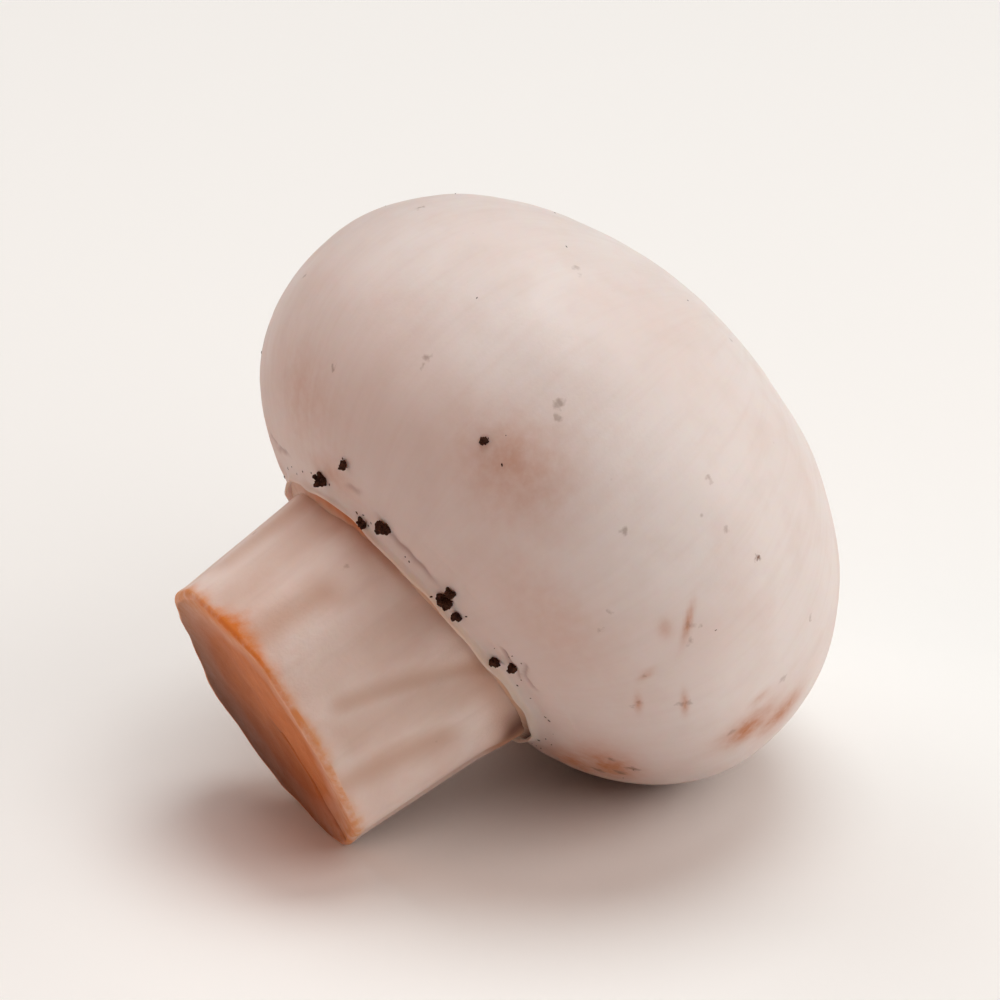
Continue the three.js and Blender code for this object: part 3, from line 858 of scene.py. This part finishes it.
angle = np.linspace(0, 2 * math.pi, veil_columns, endpoint=False)
wrinkle = waves(angle, [(37, 0.5, 0.2), (53, 0.4, 1.9), (71, 0.3, 0.8)])
wrinkle = wrinkle_height * wrinkle * (1 + waves(angle, [(3, 0.5, 0.4)]))
lip_ring = lip_radius + waves(angle, lip_wander)
outer_rows, inner_rows, foot_mark = [], [], []
for share in np.linspace(0, 1, veil_rows):
    radius = (stem_top_radius - veil_in_stem) * share + (lip_ring - veil_in_lip) * (1 - share)
    level = underside(angle, lip_ring) - veil_fall * share + wrinkle * math.sin(math.pi * share)
    off_centre = stem_mouth[0] * share
    outer_rows.append(ring_points(angle, radius, level, off_centre))
    inner_rows.append(ring_points(angle, radius, level + veil_thickness, off_centre))
    foot_mark.append(share ** 2)
rows = np.array(outer_rows + inner_rows[::-1])
foot_rows = np.repeat(np.array(foot_mark + foot_mark[::-1])[:, None], veil_columns, axis=1)
veil = closed_mesh("mushroom_veil", lay_down(rows), attributes={
    "foot": foot_rows, "browning_and_painted_light": (1 - foot_rows) * bell_round(angle, 190, 30),
    "dark_shade": (1 - foot_rows ** 2) * bell_round(angle, 318, 16),
})
veil.data.materials.append(veil_material)
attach(veil, "root")
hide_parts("veil")

# ----------------------------------------------------------------------------------------------
# Soil crumbs. Bits of the peat that the mushroom bed is cased with, stuck in the damp groove
# behind the lip. Each is a lump of a few clods pressed together, nearly black and quite dull.
# ----------------------------------------------------------------------------------------------
clods_in_a_crumb = 11
crumb_voxel = 0.035 * MM
crumb_swelling = 1.2  # the clods spread a little past the plain lump
crumb_standing = 0.18  # how much of its width a crumb's middle stands above the skin

# Peat: dull brown-black fibre and grit, a little lighter in small random patches.
peat_material, tree = new_material("casing_peat")
place = add_node(tree, "ShaderNodeTexCoord", out="Object")
grit_noise = add_node(tree, "ShaderNodeTexNoise",
                      {"Vector": place, "Scale": 1 / (0.3 * MM), "Detail": 3.0, "Roughness": 0.7}, out=0)
grit = add_node(tree, "ShaderNodeMapRange", {0: grit_noise, 1: 0.4, 2: 0.7}, out=0)
peat_colour = add_node(tree, "ShaderNodeMix", {0: grit, 6: srgb("#2A130A"), 7: srgb("#54301E")},
                       out=2, data_type="RGBA")
shader = add_node(tree, "ShaderNodeBsdfPrincipled",
                  {"Base Color": peat_colour, "Roughness": 0.92, "Specular IOR Level": 0.2}, out="BSDF")
add_node(tree, "ShaderNodeOutputMaterial", {"Surface": shader})

cap_points = [vertex.co for vertex in cap.data.vertices]
cap_surface = BVHTree.FromPolygons(cap_points, [face.vertices for face in cap.data.polygons])
for number, crumb_name in enumerate(crumb_names):
    low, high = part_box(crumb_name)
    width = crumb_swelling * max(high - low)
    spot, outward, _, _ = cap_surface.find_nearest((low + high) / 2)
    centre = spot + outward * crumb_standing * width
    random = np.random.default_rng(100 + number)
    spread = Vector(random.uniform(0.6, 1.3, 3))
    lump = bmesh.new()
    for clod in range(clods_in_a_crumb):
        size = width * random.uniform(0.13, 0.33)
        offset = Vector(random.normal(0, 1, 3)).normalized() * (width / 2 - size * 0.8)
        offset = offset * random.uniform(0.5, 1.0)
        ball = bmesh.ops.create_icosphere(lump, subdivisions=2, radius=size)
        offset = Vector(a * b for a, b in zip(offset, spread))
        stretch = Vector(random.uniform(0.6, 1.2, 3))
        for vertex in ball["verts"]:
            vertex.co = Vector(a * b for a, b in zip(vertex.co, stretch)) + offset + centre
    mesh = bpy.data.meshes.new(crumb_name + "_peat")
    lump.to_mesh(mesh)
    lump.free()
    crumb = bpy.data.objects.new(crumb_name + "_peat", mesh)
    bpy.context.scene.collection.objects.link(crumb)
    remesh = crumb.modifiers.new("join_clods", "REMESH")
    remesh.mode = "VOXEL"
    remesh.voxel_size = crumb_voxel
    run_shape_tree(crumb, relief_tree, {
        "Swell size": 0.45 * MM, "Swell height": 0.50 * MM, "Dimple size": 0.20 * MM,
        "Dimple height": 0.28 * MM, "Grain size": 0.10 * MM, "Grain height": 0.08 * MM,
        "Fibre direction": (0, 0, 1), "Fibre stretch": 1.0, "Press softness": 0.0,
        "Material": peat_material,
    })
    crumb.modifiers.clear()
    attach(crumb, "root")
    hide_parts(crumb_name)

# ----------------------------------------------------------------------------------------------
# Peat dust. The same casing soil in grains too small to pick up, thick round the crumbs and in the
# groove behind the lip and thin everywhere else, pressed into the damp skin.
# ----------------------------------------------------------------------------------------------
grain_width = 0.22 * MM
groove_grains = 1000000  # grains to a square metre where the dust is thickest
skin_grains = 6000  # and where it is thinnest
dust_seed = 4


def add_dust_tree():
    """Scatters little flattened grains over a surface, thickest where its peat attribute is high."""
    shape_tree, given = new_shape_tree("peat_dust", {
        "Grain width": "Float", "Grains in groove": "Float", "Grains on skin": "Float", "Seed": "Int",
        "Material": "Material",
    })
    thickness = add_node(shape_tree, "GeometryNodeInputNamedAttribute", {"Name": "peat"}, out="Attribute")
    in_groove = add_node(shape_tree, "ShaderNodeMath", {0: thickness, 1: given.outputs["Grains in groove"]},
                         out=0, operation="MULTIPLY")
    density = add_node(shape_tree, "ShaderNodeMath", {0: in_groove, 1: given.outputs["Grains on skin"]},
                       out=0, operation="ADD")
    points = add_node(shape_tree, "GeometryNodeDistributePointsOnFaces", {
        "Mesh": given.outputs["Geometry"], "Density": density, "Seed": given.outputs["Seed"],
    })
    ball = add_node(shape_tree, "GeometryNodeMeshIcoSphere", {"Radius": 0.5, "Subdivisions": 1}, out="Mesh")
    scale = add_node(shape_tree, "FunctionNodeRandomValue",
                     {0: (0.3, 0.3, 0.2), 1: (1.5, 0.9, 0.5), "Seed": given.outputs["Seed"]},
                     out=0, data_type="FLOAT_VECTOR")
    grain_scale = add_node(shape_tree, "ShaderNodeVectorMath",
                           {0: scale, "Scale": given.outputs["Grain width"]},
                           out="Vector", operation="SCALE")
    spin = add_node(shape_tree, "FunctionNodeRandomValue",
                    {0: (0, 0, 0), 1: (0, 0, 2 * math.pi), "Seed": given.outputs["Seed"]},
                    out=0, data_type="FLOAT_VECTOR")
    turned = add_node(shape_tree, "FunctionNodeRotateRotation",
                      {"Rotation": points.outputs["Rotation"], "Rotate By": spin}, out=0,
                      rotation_space="LOCAL")
    grains = add_node(shape_tree, "GeometryNodeInstanceOnPoints", {
        "Points": points.outputs["Points"], "Instance": ball, "Rotation": turned, "Scale": grain_scale,
    }, out="Instances")
    loose = add_node(shape_tree, "GeometryNodeRealizeInstances", {"Geometry": grains}, out="Geometry")
    finished = add_node(shape_tree, "GeometryNodeSetMaterial",
                        {"Geometry": loose, "Material": given.outputs["Material"]}, out="Geometry")
    add_node(shape_tree, "NodeGroupOutput", {"Geometry": finished})
    return shape_tree


dust = bpy.data.objects.new("peat_dust", cap.data.copy())
bpy.context.scene.collection.objects.link(dust)
run_shape_tree(dust, add_dust_tree(), {
    "Grain width": grain_width, "Grains in groove": float(groove_grains),
    "Grains on skin": float(skin_grains), "Seed": dust_seed, "Material": peat_material,
})
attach(dust, "root")

low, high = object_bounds()
